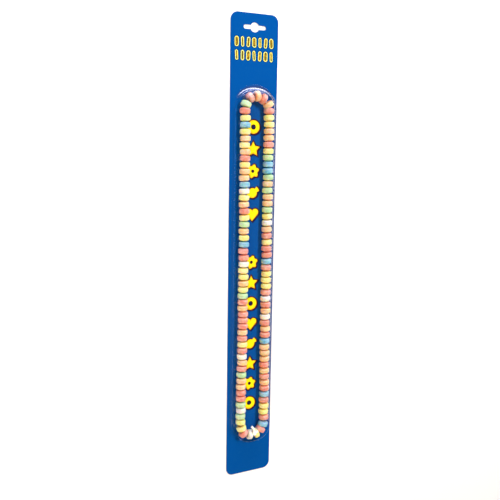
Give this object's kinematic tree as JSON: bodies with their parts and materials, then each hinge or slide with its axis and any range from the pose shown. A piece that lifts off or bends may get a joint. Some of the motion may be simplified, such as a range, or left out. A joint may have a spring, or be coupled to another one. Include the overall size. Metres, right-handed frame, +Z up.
{
  "type": "candy necklace hang pack",
  "caption": "Candy necklace in a hang pack: a long blue card with a hang slot, a clear blister and a closed loop of pastel pressed sugar beads on elastic.",
  "frame": {"origin": "under the middle of the card, on the surface that the pack lies on", "axes": "+X across the card to the right, +Y along the card towards the hang slot, +Z up out of the card's printed front"},
  "size_m": [0.065, 0.604, 0.0165],
  "materials": {
    "card": "glossy varnished print",
    "blister": "clear thermoformed plastic",
    "beads": "matte pressed sugar in pastel colours"
  },
  "bodies": {
    "root": {"card": "card", "blister": "blister", "candy_necklace": "beads"}
  },
  "joints": []
}
